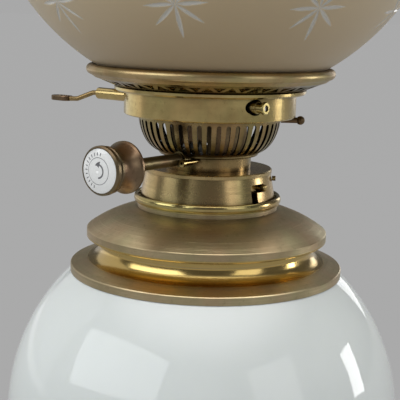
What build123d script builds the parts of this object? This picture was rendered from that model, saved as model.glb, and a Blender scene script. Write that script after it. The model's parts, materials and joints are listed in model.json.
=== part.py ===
from build123d import *
import math
import os

# Duplex table oil lamp: opal glass globe body, drop-in brass font, burner with two flat wicks,
# shade gallery, glass chimney and ball shade. Millimetres, +Z up, origin under the middle of the foot.
# The winder knobs point along -Y and the extinguisher lever along -X.

# ---- driving dimensions -------------------------------------------------------------------
GLOBE_R = 91.5            # opal glass body, outside
GLOBE_WALL = 4.0
GLOBE_MID = 98.6          # height of its middle
GLOBE_MOUTH_R = 58.5      # both mouths
RING_RIM_R = 62.6         # turned brass ring on each mouth
RING_BORE_R = 46.2

FONT_SEAT = 178.2         # face that the font hangs from
FONT_R = 44.0
FONT_FLOOR = 52.0
CAP_RIM_R = 55.2
COLLAR_SEAT = 197.2
COLLAR_R = 27.4
COLLAR_BORE_R = 25.6
PIN_ANGLE = 3.0           # bayonet pin, measured from +X
PIN_R = 1.5
PIN_Z = 207.3
ENTRY_ANGLE = -9.0        # way in for the pin, before the burner is twisted

SKIRT_FOOT_R = 30.9
SKIRT_FOOT = 200.5
SKIRT_TOP_R = 28.8
SKIRT_TOP = 212.0
SKIRT_WALL = 0.8
FLANGE_TOP = 213.8
NECK_R = 19.5
BASKET_FOOT = 221.0
BASKET_RIM = 238.5
BASKET_SLOTS = 48
BASKET_SLOT_WIDE = 2.0
BAND_R = 39.0
BAND_WALL = 0.9
BAND_TOP = 248.1

WICK_X = 10.5             # middle of each wick
WICK_WIDTH = 24.0
WICK_THICK = 3.0
TUBE_GAP = 0.25
TUBE_WALL = 0.5
TUBE_TOP = 262.0
TUBE_FOOT = 178.5

WINDER_X = 3.6            # the two wick spindles lie at +X and -X of the middle
WINDER_Z = 219.9
SPINDLE_R = 1.5
IDLER_R = 1.2
SLEEVE_R = 2.75
SLEEVE_THIN_R = 2.2
SLEEVE_BORE_R = 1.56
WHEEL_TIP_R = 5.25
WHEEL_ROWS_RIGHT = (-8.5, -2.5, 3.5, 9.5)       # middles of the spiked wheels along Y
WHEEL_ROWS_LEFT = (-11.5, -5.5, 0.5, 6.5)
GEAR_TEETH = 12

SHAFT_Y = -15.3           # rock shaft of the extinguisher
SHAFT_Z = 244.3
SHAFT_R = 1.3
BUSH_R = 2.75

BEAD_R = 56.0             # rolled rim that holds the shade
BEAD_Z = 257.5
SHADE_R = 100.7
SHADE_MID = 345.7
SHADE_WALL = 3.0
SHADE_FITTER_R = 50.8
SHADE_FOOT = 254.6
SHADE_TOP_R = 46.0
CHIMNEY_R = 32.5
CHIMNEY_WALL = 2.0
CHIMNEY_FOOT = 250.0
CHIMNEY_TALL = 255.0



def turned(*points, plane=Plane.XZ):
    """A closed outline of (radius, height) points, as a face on the XZ plane or a lathe's own plane."""
    with BuildSketch(plane) as outline:
        with BuildLine():
            Polyline(*points, close=True)
        make_face()
    return outline.sketch


def polar(radius, angle):
    """The X and Y of a place, from its radius and its angle from +X in degrees."""
    return radius * math.cos(math.radians(angle)), radius * math.sin(math.radians(angle))


def ball_rise(radius, ball_r):
    """How far above a ball's middle its surface lies, at a radius from the axis."""
    return math.sqrt(ball_r**2 - radius**2)


def radial_plane(angle, height, radius=0.0):
    """A plane whose normal points outwards from the axis at an angle."""
    x, y = polar(radius, angle)
    ux, uy = polar(1.0, angle)
    return Plane(origin=(x, y, height), x_dir=(-uy, ux, 0), z_dir=(ux, uy, 0))


# ---- foot and globe body ------------------------------------------------------------------
with BuildPart() as felt_pad:
    revolve(turned((24, 0), (68, 0), (68, 1.5), (24, 1.5)), axis=Axis.Z)

with BuildPart() as base_plate:
    revolve(turned((12, 1.5), (69.2, 1.5), (69.2, 2.5), (12, 2.5)), axis=Axis.Z)

with BuildPart() as base_weight:
    revolve(turned((30, 2.5), (53, 2.5), (53, 9.0), (52, 10.0), (31, 10.0), (30, 9.0)), axis=Axis.Z)

with BuildPart() as foot:
    with BuildSketch(Plane.XZ):
        with BuildLine():
            Polyline((44.6, 19.0), (44.6, 16.6), (50.6, 16.6), (54.2, 13.4), (54.2, 11.4))
            Line((54.2, 11.4), (69.4, 4.6))
            Polyline((69.4, 4.6), (69.4, 1.5), (71.2, 1.5), (72.0, 2.3), (72.0, 5.6), (71.2, 6.4))
            ThreePointArc((71.2, 6.4), (63.2, 8.6), (56.0, 12.8))
            Polyline((56.0, 12.8), (56.0, 15.6), (50.4, 17.2), (50.4, 19.0), (44.6, 19.0))
        make_face()
    revolve(axis=Axis.Z)
    with BuildSketch(Plane.XY.offset(16.6)):
        with PolarLocations(47.5, 3):
            Circle(0.95)
    extrude(amount=2.4, mode=Mode.SUBTRACT)

with BuildPart() as foot_screws:
    with BuildSketch(Plane.XY.offset(15.2)):
        with PolarLocations(47.5, 3):
            Circle(1.9)
    extrude(amount=1.4)
    with BuildSketch(Plane.XY.offset(16.6)):
        with PolarLocations(47.5, 3):
            Circle(0.9)
    extrude(amount=7.0)


def mouth_ring(up):
    """Outline of the brass ring on a mouth of the globe: up is 1 for the top ring, -1 for the foot's."""
    def at(radius, rise):
        return radius, GLOBE_MID + up * rise

    with BuildSketch(Plane.XZ) as outline:
        with BuildLine():
            Polyline(
                at(54.5, 72.8), at(62.2, 70.6), at(RING_RIM_R, 70.2), at(RING_RIM_R, 67.1),
                at(61.5, 68.3),
            )
            Polyline(at(61.5, 68.3), at(61.5, 69.6), at(54.5, 71.6), at(47.8, 73.6), at(47.8, 62.0))
            Polyline(
                at(47.8, 62.0), at(RING_BORE_R, 62.0), at(RING_BORE_R, 79.6), at(48.8, 79.6),
                at(48.8, 78.4),
            )
            ThreePointArc(at(48.8, 78.4), at(50.6, 74.7), at(54.5, 72.8))
        make_face()
    return outline.sketch


with BuildPart() as mount_ring:
    revolve(mouth_ring(1), axis=Axis.Z)

with BuildPart() as foot_ring:
    revolve(mouth_ring(-1), axis=Axis.Z)
    with BuildSketch(Plane.XY.offset(19.0)):
        with PolarLocations(47.5, 3):
            Circle(0.95)
    extrude(amount=5.0, mode=Mode.SUBTRACT)

mouth_out = ball_rise(GLOBE_MOUTH_R, GLOBE_R)
mouth_in = ball_rise(GLOBE_MOUTH_R, GLOBE_R - GLOBE_WALL)
with BuildPart() as globe_body:
    with BuildSketch(Plane.XZ):
        with BuildLine():
            ThreePointArc(
                (GLOBE_MOUTH_R, GLOBE_MID + mouth_out), (GLOBE_R, GLOBE_MID),
                (GLOBE_MOUTH_R, GLOBE_MID - mouth_out)
            )
            Line((GLOBE_MOUTH_R, GLOBE_MID - mouth_out), (GLOBE_MOUTH_R, GLOBE_MID - mouth_in))
            ThreePointArc(
                (GLOBE_MOUTH_R, GLOBE_MID - mouth_in),
                (GLOBE_R - GLOBE_WALL, GLOBE_MID),
                (GLOBE_MOUTH_R, GLOBE_MID + mouth_in),
            )
            Line((GLOBE_MOUTH_R, GLOBE_MID + mouth_in), (GLOBE_MOUTH_R, GLOBE_MID + mouth_out))
        make_face()
    revolve(axis=Axis.Z)


def cement_outline(up):
    """Outline of the plaster that fills the gap between a mouth ring and the glass."""
    points = ((47.9, 63.0), (47.9, 73.4), (54.5, 71.5), (58.4, 70.2), (58.4, 65.3), (56.0, 63.0))
    return turned(*[(radius, GLOBE_MID + up * rise) for radius, rise in points])


with BuildPart() as mount_cement:
    revolve(cement_outline(1), axis=Axis.Z)

with BuildPart() as foot_cement:
    revolve(cement_outline(-1), axis=Axis.Z)

# ---- drop-in font ---------------------------------------------------------------------------
with BuildPart() as font_vessel:
    with BuildSketch(Plane.XZ):
        with BuildLine():
            Line((0, FONT_FLOOR), (34.0, FONT_FLOOR))
            ThreePointArc((34.0, FONT_FLOOR), (41.07, FONT_FLOOR + 2.93), (FONT_R, FONT_FLOOR + 10.0))
            Line((FONT_R, FONT_FLOOR + 10.0), (FONT_R, 178.0))
            Line((FONT_R, 178.0), (FONT_R - 0.9, 178.0))
            Line((FONT_R - 0.9, 178.0), (FONT_R - 0.9, FONT_FLOOR + 10.0))
            ThreePointArc(
                (FONT_R - 0.9, FONT_FLOOR + 10.0), (40.44, FONT_FLOOR + 3.56),
                (34.0, FONT_FLOOR + 0.9),
            )
            Polyline((34.0, FONT_FLOOR + 0.9), (0, FONT_FLOOR + 0.9), (0, FONT_FLOOR))
        make_face()
    revolve(axis=Axis.Z)

with BuildPart() as font_shoulder:
    with BuildSketch(Plane.XZ):
        with BuildLine():
            Polyline((FONT_R, 174.5), (46.0, 174.5), (46.0, FONT_SEAT), (50.3, FONT_SEAT), (50.3, 179.9))
            Polyline((50.3, 179.9), (54.7, 181.3), (CAP_RIM_R, 181.7), (CAP_RIM_R, 185.1), (54.8, 185.5))
            ThreePointArc((54.8, 185.5), (45.4, 191.0), (34.0, 194.7))
            Polyline((34.0, 194.7), (32.2, 195.4), (32.2, COLLAR_SEAT), (30.2, COLLAR_SEAT), (30.2, 194.0))
            ThreePointArc((30.2, 194.0), (43.0, 190.0), (52.6, 184.2))
            Polyline((52.6, 184.2), (52.2, 182.4), (FONT_R, 180.0), (FONT_R, 174.5))
        make_face()
    revolve(axis=Axis.Z)

with BuildPart() as font_collar:
    with BuildSketch(Plane.XZ):
        with BuildLine():
            Polyline(
                (COLLAR_BORE_R, 195.2), (30.1, 195.2), (30.1, COLLAR_SEAT), (32.7, COLLAR_SEAT),
                (32.7, 198.3),
                (COLLAR_R, 198.3), (COLLAR_R, 210.4), (COLLAR_R - 0.4, 210.8),
                (COLLAR_BORE_R, 210.8), close=True,
            )
        make_face()
        with Locations((32.7, 199.6)):
            Ellipse(1.1, 1.9)
    revolve(axis=Axis.Z)
    with BuildSketch(radial_plane(PIN_ANGLE, PIN_Z, -30.0)):
        Circle(PIN_R)
    extrude(amount=60.0, mode=Mode.SUBTRACT)

with BuildPart() as collar_pins:
    for turn in (0, 180):
        with BuildSketch(radial_plane(PIN_ANGLE + turn, PIN_Z, COLLAR_BORE_R + 0.2)):
            Circle(PIN_R)
        extrude(amount=5.8)
    fillet(collar_pins.faces().filter_by(GeomType.PLANE).group_by(SortBy.DISTANCE)[-1].edges(), 0.7)

# ---- burner base, neck and air basket -------------------------------------------------------
with BuildPart() as burner_skirt:
    revolve(
        turned(
            (SKIRT_FOOT_R - SKIRT_WALL, SKIRT_FOOT), (SKIRT_FOOT_R, SKIRT_FOOT), (SKIRT_TOP_R, SKIRT_TOP),
            (29.2, SKIRT_TOP), (29.2, FLANGE_TOP - 0.4), (28.8, FLANGE_TOP), (18.5, FLANGE_TOP),
            (18.5, SKIRT_TOP + 0.8), (SKIRT_TOP_R - SKIRT_WALL, SKIRT_TOP + 0.8),
            (SKIRT_TOP_R - SKIRT_WALL, SKIRT_TOP),
        ),
        axis=Axis.Z,
    )
    for turn in (0, 180):
        for step in range(5):
            run_angle = ENTRY_ANGLE + (PIN_ANGLE - ENTRY_ANGLE) * step / 4 + turn
            with BuildSketch(radial_plane(run_angle, PIN_Z, 27.0)):
                Circle(PIN_R + 0.35)
            extrude(amount=6.0, mode=Mode.SUBTRACT)
        with BuildSketch(radial_plane(ENTRY_ANGLE + turn, SKIRT_FOOT, 27.0)):
            with Locations((0, (PIN_Z - SKIRT_FOOT) / 2)):
                Rectangle(2 * PIN_R + 0.7, PIN_Z - SKIRT_FOOT + 2.0)
        extrude(amount=6.0, mode=Mode.SUBTRACT)

with BuildPart() as skirt_screws:
    for turn in (31, 211):
        with BuildSketch(radial_plane(turn, 209.6, 29.5)):
            Circle(1.1)
        extrude(amount=1.6)

TUBE_HALF = WICK_WIDTH / 2 + TUBE_GAP + TUBE_WALL
TUBE_THICK = WICK_THICK + 2 * (TUBE_GAP + TUBE_WALL)

with BuildPart() as burner_neck:
    revolve(
        turned(
            (0, FLANGE_TOP), (NECK_R, FLANGE_TOP), (NECK_R, 220.0), (22.4, 220.0), (22.8, 220.4),
            (22.8, BASKET_FOOT),
            (18.7, BASKET_FOOT), (18.7, FLANGE_TOP + 0.8), (0, FLANGE_TOP + 0.8),
        ),
        axis=Axis.Z,
    )
    with BuildSketch(Plane.XY.offset(FLANGE_TOP)):
        with Locations((WICK_X, 0), (-WICK_X, 0)):
            Rectangle(TUBE_THICK, 2 * TUBE_HALF)
    extrude(amount=0.8, mode=Mode.SUBTRACT)
    with BuildSketch(Plane(origin=(WINDER_X, -15.0, WINDER_Z), x_dir=(1, 0, 0), z_dir=(0, -1, 0))):
        Circle(3.5)
    extrude(amount=12.0, mode=Mode.SUBTRACT)

with BuildPart() as air_basket:
    with BuildSketch(Plane.XZ):
        with BuildLine():
            Spline((22.8, BASKET_FOOT), (27.9, 224.6), (31.0, 230.2), (32.3, 236.8))
            Polyline((32.3, 236.8), (32.3, BASKET_RIM), (31.4, BASKET_RIM), (31.4, 236.8))
            Spline((31.4, 236.8), (30.1, 230.5), (27.2, 225.3), (22.2, BASKET_FOOT + 0.8))
            Polyline(
                (22.2, BASKET_FOOT + 0.8), (19.0, BASKET_FOOT + 0.8), (19.0, BASKET_FOOT),
                (22.8, BASKET_FOOT),
            )
        make_face()
    revolve(axis=Axis.Z)
    with BuildPart(mode=Mode.PRIVATE) as slot_cutter:
        with BuildSketch(Plane.YZ.offset(21.0)):
            with Locations((0, 229.0)):
                SlotOverall(13.6, BASKET_SLOT_WIDE, rotation=90)
        extrude(amount=14.0)
    with PolarLocations(0, BASKET_SLOTS):
        add(slot_cutter.part, mode=Mode.SUBTRACT)
    with BuildSketch(Plane(origin=(WINDER_X, -18.0, WINDER_Z), x_dir=(1, 0, 0), z_dir=(0, -1, 0))):
        Circle(3.5)
    extrude(amount=12.0, mode=Mode.SUBTRACT)

with BuildPart() as burner_band:
    revolve(
        turned(
            (32.3, BASKET_RIM - 0.9), (BAND_R - 0.5, BASKET_RIM - 0.9), (BAND_R, BASKET_RIM - 0.4),
            (BAND_R, BAND_TOP),
            (BAND_R - BAND_WALL, BAND_TOP), (BAND_R - BAND_WALL, BASKET_RIM), (32.3, BASKET_RIM),
        ),
        axis=Axis.Z,
    )
    with BuildSketch(Plane.YZ.offset(30.0)):
        with Locations((SHAFT_Y, SHAFT_Z)):
            Circle(BUSH_R + 0.75)
        with Locations((SHAFT_Y - 1.6, SHAFT_Z)):
            Circle(BUSH_R - 0.1)
    extrude(amount=10.0, mode=Mode.SUBTRACT)
    with BuildSketch(Plane.YZ.offset(-30.0)):
        with Locations((SHAFT_Y, SHAFT_Z)):
            Circle(BUSH_R)
    extrude(amount=-10.0, mode=Mode.SUBTRACT)

STUD_ANGLE = 36.5
STUD_Z = 236.1
with BuildPart() as stop_stud:
    with BuildSketch(radial_plane(STUD_ANGLE, STUD_Z, 32.5)):
        Circle(1.3)
    extrude(amount=8.0)
    with Locations((*polar(41.3, STUD_ANGLE), STUD_Z)):
        Sphere(2.0)

with BuildPart() as baffle_plate:
    with BuildSketch(Plane.XY.offset(236.2)):
        Circle(31.3)
        with Locations((WICK_X, 0), (-WICK_X, 0)):
            Rectangle(TUBE_THICK + 0.2, 2 * TUBE_HALF + 0.2, mode=Mode.SUBTRACT)
        with PolarLocations(24.5, 30):
            Circle(1.2, mode=Mode.SUBTRACT)
        with PolarLocations(28.2, 36):
            Circle(1.1, mode=Mode.SUBTRACT)
    extrude(amount=0.6)


def wick_tube(side):
    """One flat wick tube with four windows, facing the middle, for the spiked wheels."""
    wheel_rows = WHEEL_ROWS_RIGHT if side > 0 else WHEEL_ROWS_LEFT
    with BuildPart() as tube:
        with BuildSketch(Plane.XY.offset(TUBE_FOOT)):
            with Locations((side * WICK_X, 0)):
                RectangleRounded(TUBE_THICK, 2 * TUBE_HALF, 1.4)
                RectangleRounded(
                    TUBE_THICK - 2 * TUBE_WALL, 2 * (TUBE_HALF - TUBE_WALL), 0.9,
                    mode=Mode.SUBTRACT,
                )
        extrude(amount=TUBE_TOP - TUBE_FOOT)
        with Locations(*[(side * (WICK_X - TUBE_THICK / 2), row, WINDER_Z) for row in wheel_rows]):
            Box(1.6, 2.0, 6.6, mode=Mode.SUBTRACT)
    return tube


wick_tube_right = wick_tube(1)
wick_tube_left = wick_tube(-1)

with BuildPart() as winder_bearing:
    with BuildSketch(Plane(origin=(WINDER_X, -18.3, WINDER_Z), x_dir=(1, 0, 0), z_dir=(0, -1, 0))):
        Circle(3.45)
        Circle(SLEEVE_THIN_R + 0.06, mode=Mode.SUBTRACT)
    extrude(amount=7.6)

with BuildPart() as bearing_screw:
    with BuildSketch(Plane(origin=(8.2, -18.15, 218.9), x_dir=(1, 0, 0), z_dir=(0, -1, 0))):
        Circle(0.9)
    extrude(amount=10.05)
    with BuildSketch(Plane(origin=(8.2, -28.2, 218.9), x_dir=(1, 0, 0), z_dir=(0, -1, 0))):
        Circle(1.6)
        Circle(0.6, mode=Mode.SUBTRACT)
    extrude(amount=1.4)

with BuildPart() as front_plate:
    with BuildSketch(Plane(origin=(0, -16.9, 0), x_dir=(1, 0, 0), z_dir=(0, -1, 0))):
        with Locations((0, 219.0)):
            Rectangle(12.0, 8.8)
        with Locations((WINDER_X, WINDER_Z)):
            Circle(SLEEVE_THIN_R + 0.06, mode=Mode.SUBTRACT)
        with Locations((-WINDER_X, WINDER_Z)):
            Circle(IDLER_R + 0.06, mode=Mode.SUBTRACT)
    extrude(amount=0.8)

with BuildPart() as rear_plate:
    with BuildSketch(Plane(origin=(0, 14.4, 0), x_dir=(1, 0, 0), z_dir=(0, -1, 0))):
        with Locations((0, 219.0)):
            Rectangle(12.0, 8.8)
        with Locations((WINDER_X, WINDER_Z)):
            Circle(SPINDLE_R + 0.06, mode=Mode.SUBTRACT)
        with Locations((-WINDER_X, WINDER_Z)):
            Circle(IDLER_R + 0.06, mode=Mode.SUBTRACT)
    extrude(amount=0.8)


# ---- wick winders ---------------------------------------------------------------------------
def along_y(x, start, z=WINDER_Z):
    """A plane at a place along Y, facing -Y, on a spindle's axis."""
    return Plane(origin=(x, start, z), x_dir=(1, 0, 0), z_dir=(0, -1, 0))


def spiked_wheels(x, rows, shaft_r):
    """Thin wheels with ten pointed teeth that grip the wick."""
    outline = []
    for tooth in range(10):
        for offset, radius in ((0.0, WHEEL_TIP_R), (0.5, WHEEL_TIP_R - 1.5)):
            angle = 36.0 * (tooth + offset)
            outline.append(polar(radius, angle))
    with BuildPart() as wheels:
        for row in rows:
            with BuildSketch(along_y(x, row + 0.6)):
                with BuildLine():
                    Polyline(*outline, close=True)
                make_face()
                Circle(shaft_r, mode=Mode.SUBTRACT)
            extrude(amount=1.2)
    return wheels


def gear(x, start, bore_r, half_tooth_turn):
    """A small spur gear with slim teeth, so that the pair runs with play."""
    outline = []
    for tooth in range(GEAR_TEETH):
        centre = 360.0 / GEAR_TEETH * (tooth + half_tooth_turn)
        for offset, radius in ((-8.5, 2.95), (-4.0, 4.0), (4.0, 4.0), (8.5, 2.95)):
            outline.append(polar(radius, centre + offset))
    with BuildPart() as wheel:
        with BuildSketch(along_y(x, start)):
            with BuildLine():
                Polyline(*outline, close=True)
            make_face()
            Circle(bore_r, mode=Mode.SUBTRACT)
        extrude(amount=1.8)
    return wheel


with BuildPart() as inner_spindle:
    with BuildSketch(along_y(WINDER_X, 15.4)):
        Circle(SPINDLE_R)
    extrude(amount=15.4 + 74.2)

spiked_wheels_right = spiked_wheels(WINDER_X, WHEEL_ROWS_RIGHT, SPINDLE_R)

# The knobs and their sleeve are turned about the winder's axis: heights run out along -Y.
winder_lathe = Plane(origin=(WINDER_X, 0, WINDER_Z), x_dir=(1, 0, 0), z_dir=(0, 0, -1))
winder_axis = Axis((WINDER_X, 0, WINDER_Z), (0, -1, 0))

with BuildPart() as front_knob:
    revolve(
        turned(
            (SPINDLE_R, 70.6), (8.6, 70.6), (9.7, 71.1), (9.7, 72.0), (9.2, 72.5), (9.2, 72.9), (10.1, 73.5),
            (10.1, 74.9), (9.5, 75.7), (9.1, 75.7), (9.1, 74.2), (SPINDLE_R, 74.2), plane=winder_lathe,
        ),
        axis=winder_axis,
    )

DISC_FACE_R = 37.8        # its face is a shallow ball
DISC_TOP = 76.6
with BuildPart() as porcelain_disc:
    disc_mid = DISC_TOP - DISC_FACE_R
    disc_edge = (9.05, disc_mid + ball_rise(9.05, DISC_FACE_R))
    with BuildSketch(winder_lathe):
        with BuildLine():
            Polyline((0, DISC_TOP), (0, 74.2), (9.05, 74.2), disc_edge)
            ThreePointArc(disc_edge, (5.0, disc_mid + ball_rise(5.0, DISC_FACE_R)), (0, DISC_TOP))
        make_face()
    revolve(axis=winder_axis)

with BuildPart() as rear_knob:
    with BuildSketch(winder_lathe):
        with BuildLine():
            Polyline((10.3, 62.2), (10.9, 61.5), (10.9, 60.6), (10.4, 60.0), (8.6, 60.0), (7.8, 61.4))
            Polyline(
                (7.8, 61.4), (SLEEVE_R, 62.4), (SLEEVE_R, 67.0), (SLEEVE_BORE_R, 67.0),
                (SLEEVE_BORE_R, 70.0),
            )
            Polyline((SLEEVE_BORE_R, 70.0), (7.7, 70.0), (8.2, 69.4))
            ThreePointArc((8.2, 69.4), (8.7, 65.4), (10.3, 62.2))
        make_face()
    revolve(axis=winder_axis)

with BuildPart() as winder_sleeve:
    revolve(
        turned(
            (SLEEVE_BORE_R, 14.6), (SLEEVE_THIN_R, 14.6), (SLEEVE_THIN_R, 26.2), (SLEEVE_R, 26.4),
            (SLEEVE_R, 67.0),
            (SLEEVE_BORE_R, 67.0), plane=winder_lathe,
        ),
        axis=winder_axis,
    )

sleeve_gear = gear(WINDER_X, -14.8, SLEEVE_THIN_R, 0.0)

with BuildPart() as idler_spindle:
    with BuildSketch(along_y(-WINDER_X, 15.0)):
        Circle(IDLER_R)
    extrude(amount=33.0)

idler_gear = gear(-WINDER_X, -14.8, IDLER_R, 0.5)
spiked_wheels_left = spiked_wheels(-WINDER_X, WHEEL_ROWS_LEFT, IDLER_R)


def wick(side):
    """A flat woven wick, from the oil to just over its tube."""
    with BuildPart() as strip:
        with BuildSketch(Plane.XY.offset(92.0)):
            with Locations((side * WICK_X, 0)):
                RectangleRounded(WICK_THICK, WICK_WIDTH, 1.0)
        extrude(amount=171.4)
    return strip


wick_right = wick(1)
wick_left = wick(-1)


# ---- extinguisher ---------------------------------------------------------------------------
def shaft_bush(side, *profile):
    """A bush for the rock shaft, turned from (radius, distance along X) points, on its upright bracket."""
    lathe = Plane(origin=(0, SHAFT_Y, SHAFT_Z), x_dir=(0, 1, 0), z_dir=(0, 0, side))
    with BuildPart() as bush:
        revolve(turned(*profile, plane=lathe), axis=Axis((0, SHAFT_Y, SHAFT_Z), (1, 0, 0)))
        with BuildSketch(Plane.YZ.offset(side * 31.6)):
            with Locations((SHAFT_Y + 1.0, 243.2)):
                Rectangle(7.0, 9.4)
            with Locations((SHAFT_Y, SHAFT_Z)):
                Circle(2.0, mode=Mode.SUBTRACT)
        extrude(amount=side * 0.9)
    return bush


BUSH_BORE_R = SHAFT_R + 0.06
shaft_bush_right = shaft_bush(
    1, (BUSH_BORE_R, -31.6), (2.6, -31.6), (2.6, -37.2), (2.2, -37.4), (2.2, -40.2), (2.75, -40.4),
    (2.75, -41.2),
    (2.4, -41.5), (BUSH_BORE_R, -41.5),
)
shaft_bush_left = shaft_bush(
    -1, (BUSH_BORE_R, -31.6), (BUSH_R, -31.6), (BUSH_R, -54.6), (2.4, -55.0), (BUSH_BORE_R, -55.0),
)

with BuildPart() as rock_shaft:
    with BuildSketch(Plane(origin=(-56.0, SHAFT_Y, SHAFT_Z), x_dir=(0, 1, 0), z_dir=(1, 0, 0))):
        Circle(SHAFT_R)
    extrude(amount=96.8)

with BuildPart() as lift_arm:
    with BuildSketch(Plane.YZ.offset(-2.0)):
        with Locations((SHAFT_Y, SHAFT_Z)):
            Circle(2.3)
        with Locations(Location((SHAFT_Y + 4.5, SHAFT_Z - 2.1), -25.0)):
            SlotOverall(11.4, 1.5)
        with Locations((SHAFT_Y, SHAFT_Z)):
            Circle(SHAFT_R, mode=Mode.SUBTRACT)
    extrude(amount=4.0)

lever_end = (-71.6, SHAFT_Y - 2.2, SHAFT_Z - 3.7)
with BuildPart() as lever_wire:
    with BuildLine() as lever_path:
        FilletPolyline(
            (-56.0, SHAFT_Y, SHAFT_Z), (-58.6, SHAFT_Y, SHAFT_Z), (-67.0, SHAFT_Y - 2.2, SHAFT_Z - 3.4),
            lever_end, radius=3.5,
        )
    with BuildSketch(Plane(origin=lever_path.line @ 0, z_dir=lever_path.line % 0)):
        Circle(1.15)
    sweep()

with BuildPart() as thumb_loop:
    with BuildSketch(Plane.XY.offset(lever_end[2] - 1.2)):
        with Locations((lever_end[0] - 6.0, lever_end[1])):
            SlotOverall(11.9, 6.6)
            SlotOverall(7.2, 2.6, mode=Mode.SUBTRACT)
    extrude(amount=2.4)
    fillet(thumb_loop.edges().group_by(Axis.Z)[-1] + thumb_loop.edges().group_by(Axis.Z)[0], 0.5)


SNUFFER_FOOT = 241.9
SNUFFER_WALL = 0.4


def snuffer(side):
    """A sleeve that slides up its wick tube and covers the flame."""
    with BuildPart() as sleeve:
        with BuildSketch(Plane.XY.offset(SNUFFER_FOOT)):
            with Locations((side * WICK_X, 0)):
                RectangleRounded(TUBE_THICK + 1.3, 2 * TUBE_HALF + 1.3, 1.9)
                RectangleRounded(
                    TUBE_THICK + 1.3 - 2 * SNUFFER_WALL, 2 * TUBE_HALF + 1.3 - 2 * SNUFFER_WALL, 1.5,
                    mode=Mode.SUBTRACT,
                )
        extrude(amount=17.6)
    return sleeve


snuffer_right = snuffer(1)
snuffer_left = snuffer(-1)

with BuildPart() as snuffer_bridge:
    reach = WICK_X - TUBE_THICK / 2 - 0.65
    with BuildSketch(Plane.XY.offset(SNUFFER_FOOT)):
        with Locations((0, -5.4)):
            Rectangle(2 * reach, 4.0)
    extrude(amount=1.4)

# ---- shade gallery --------------------------------------------------------------------------
with BuildPart() as gallery_base:
    revolve(
        turned(
            (37.2, 245.6), (38.02, 245.6), (38.02, BAND_TOP), (42.6, BAND_TOP), (43.4, 248.8), (43.4, 249.9),
            (42.8, 250.5), (41.2, 250.5), (40.6, CHIMNEY_FOOT), (29.6, CHIMNEY_FOOT),
            (29.6, 249.2), (37.2, 249.2),
        ),
        axis=Axis.Z,
    )
    with Locations((36.0, SHAFT_Y, 246.0), (-36.0, SHAFT_Y, 246.0)):
        Box(12.0, 9.0, 3.4, mode=Mode.SUBTRACT)

CONE_HOLES = 60
with BuildPart() as pierced_gallery:
    revolve(turned((41.4, 250.5), (43.4, 250.5), (52.2, 254.0), (50.2, 254.0)), axis=Axis.Z)
    cone_tilt = math.degrees(math.atan2(254.0 - 250.5, 52.2 - 43.4))
    for hole in range(CONE_HOLES):
        turn = 360.0 * hole / CONE_HOLES
        x, y = polar(47.4, turn)
        ux, uy = polar(1.0, turn)
        rise = math.tan(math.radians(cone_tilt))
        across = Plane(origin=(x, y, 251.7), x_dir=(-uy, ux, 0), z_dir=(ux * rise, uy * rise, -1))
        flip = 1 if hole % 2 else -1
        with BuildSketch(across):
            with BuildLine():
                Polyline((-2.7 * flip, -2.6 * flip), (2.7 * flip, -2.6 * flip), (0, 2.8 * flip), close=True)
            make_face()
        extrude(amount=2.5, both=True, mode=Mode.SUBTRACT)

with BuildPart() as shade_ring:
    with BuildSketch(Plane.XZ):
        with BuildLine():
            Polyline(
                (46.8, 254.0), (52.4, 254.0), (54.2, 255.4), (53.0, BEAD_Z), (51.5, BEAD_Z),
                (51.5, SHADE_FOOT),
                (46.8, SHADE_FOOT), close=True,
            )
        make_face()
        with Locations((BEAD_R - 2.3, BEAD_Z)):
            Circle(2.3)
    revolve(axis=Axis.Z)

DOME_R = 33.5
DOME_SHEET = 0.6
DOME_TOP = 269.6
with BuildPart() as deflector_dome:
    dome_mid = DOME_TOP - DOME_R
    dome_in = DOME_R - DOME_SHEET
    outer_foot = (29.5, dome_mid + ball_rise(29.5, DOME_R))
    inner_foot = (28.9, dome_mid + ball_rise(28.9, dome_in))
    with BuildSketch(Plane.XZ):
        with BuildLine():
            Polyline(
                inner_foot, (28.9, CHIMNEY_FOOT), (30.2, CHIMNEY_FOOT), (30.2, 250.6),
                (29.5, 250.6), outer_foot,
            )
            ThreePointArc(outer_foot, (16.0, dome_mid + ball_rise(16.0, DOME_R)), (0, DOME_TOP))
            Line((0, DOME_TOP), (0, DOME_TOP - DOME_SHEET))
            ThreePointArc(
                (0, DOME_TOP - DOME_SHEET), (16.0, dome_mid + ball_rise(16.0, dome_in)),
                inner_foot,
            )
        make_face()
    revolve(axis=Axis.Z)
    with BuildSketch(Plane.XY.offset(254.0)):
        with Locations((WICK_X, 0), (-WICK_X, 0)):
            RectangleRounded(8.4, 31.0, 4.0)
    extrude(amount=20.0, mode=Mode.SUBTRACT)

with BuildPart() as chimney_prongs:
    revolve(
        turned(
            (32.85, 250.0), (36.0, 250.0), (36.0, 250.6), (33.35, 250.6), (33.35, 262.0), (32.85, 262.0),
        ),
        axis=Axis.Z,
    )
    with PolarLocations(33.0, 8):
        with Locations((0, 0, 258.0)):
            Box(6.0, 9.0, 12.0, mode=Mode.SUBTRACT)

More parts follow.
